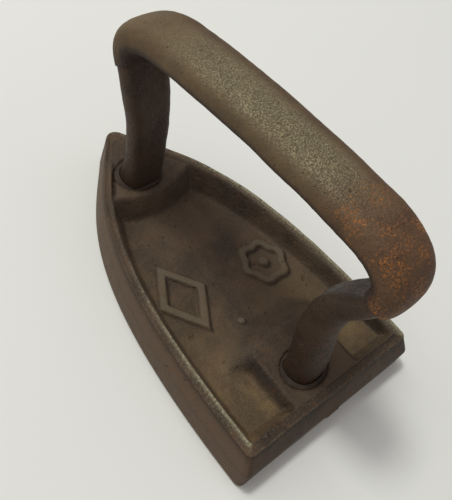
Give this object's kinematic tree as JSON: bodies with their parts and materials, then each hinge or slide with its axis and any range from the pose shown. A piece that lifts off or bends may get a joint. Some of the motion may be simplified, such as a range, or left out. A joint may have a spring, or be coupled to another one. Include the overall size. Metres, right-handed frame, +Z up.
{
  "type": "antique flat iron",
  "caption": "Heavy cast-iron flat iron with a pointed sole, a tray-like top with raised rim, two socketed posts and a wide rolled grip.",
  "frame": {"origin": "on the sole plane, under the middle of the whole iron's box", "axes": "+Z up from the sole, +Y towards the nose, +X to the right of someone looking towards the nose"},
  "size_m": [0.1084, 0.1718, 0.1158],
  "materials": {
    "body_iron": "dark brown weathered cast iron, dusty in the tray, worn bright along the rim",
    "handle_iron": "dark brown forged iron, satin",
    "grip_iron": "hand-worn sheet iron, grey-green where rubbed, orange rust specks at the rear",
    "caulking_iron": "rough dark iron cement, matt"
  },
  "bodies": {
    "root": {"body_casting": "body_iron", "handle_hoop": "handle_iron", "grip_sleeve": "grip_iron", "front_foot_caulking": "caulking_iron", "rear_foot_caulking": "caulking_iron"}
  },
  "joints": []
}
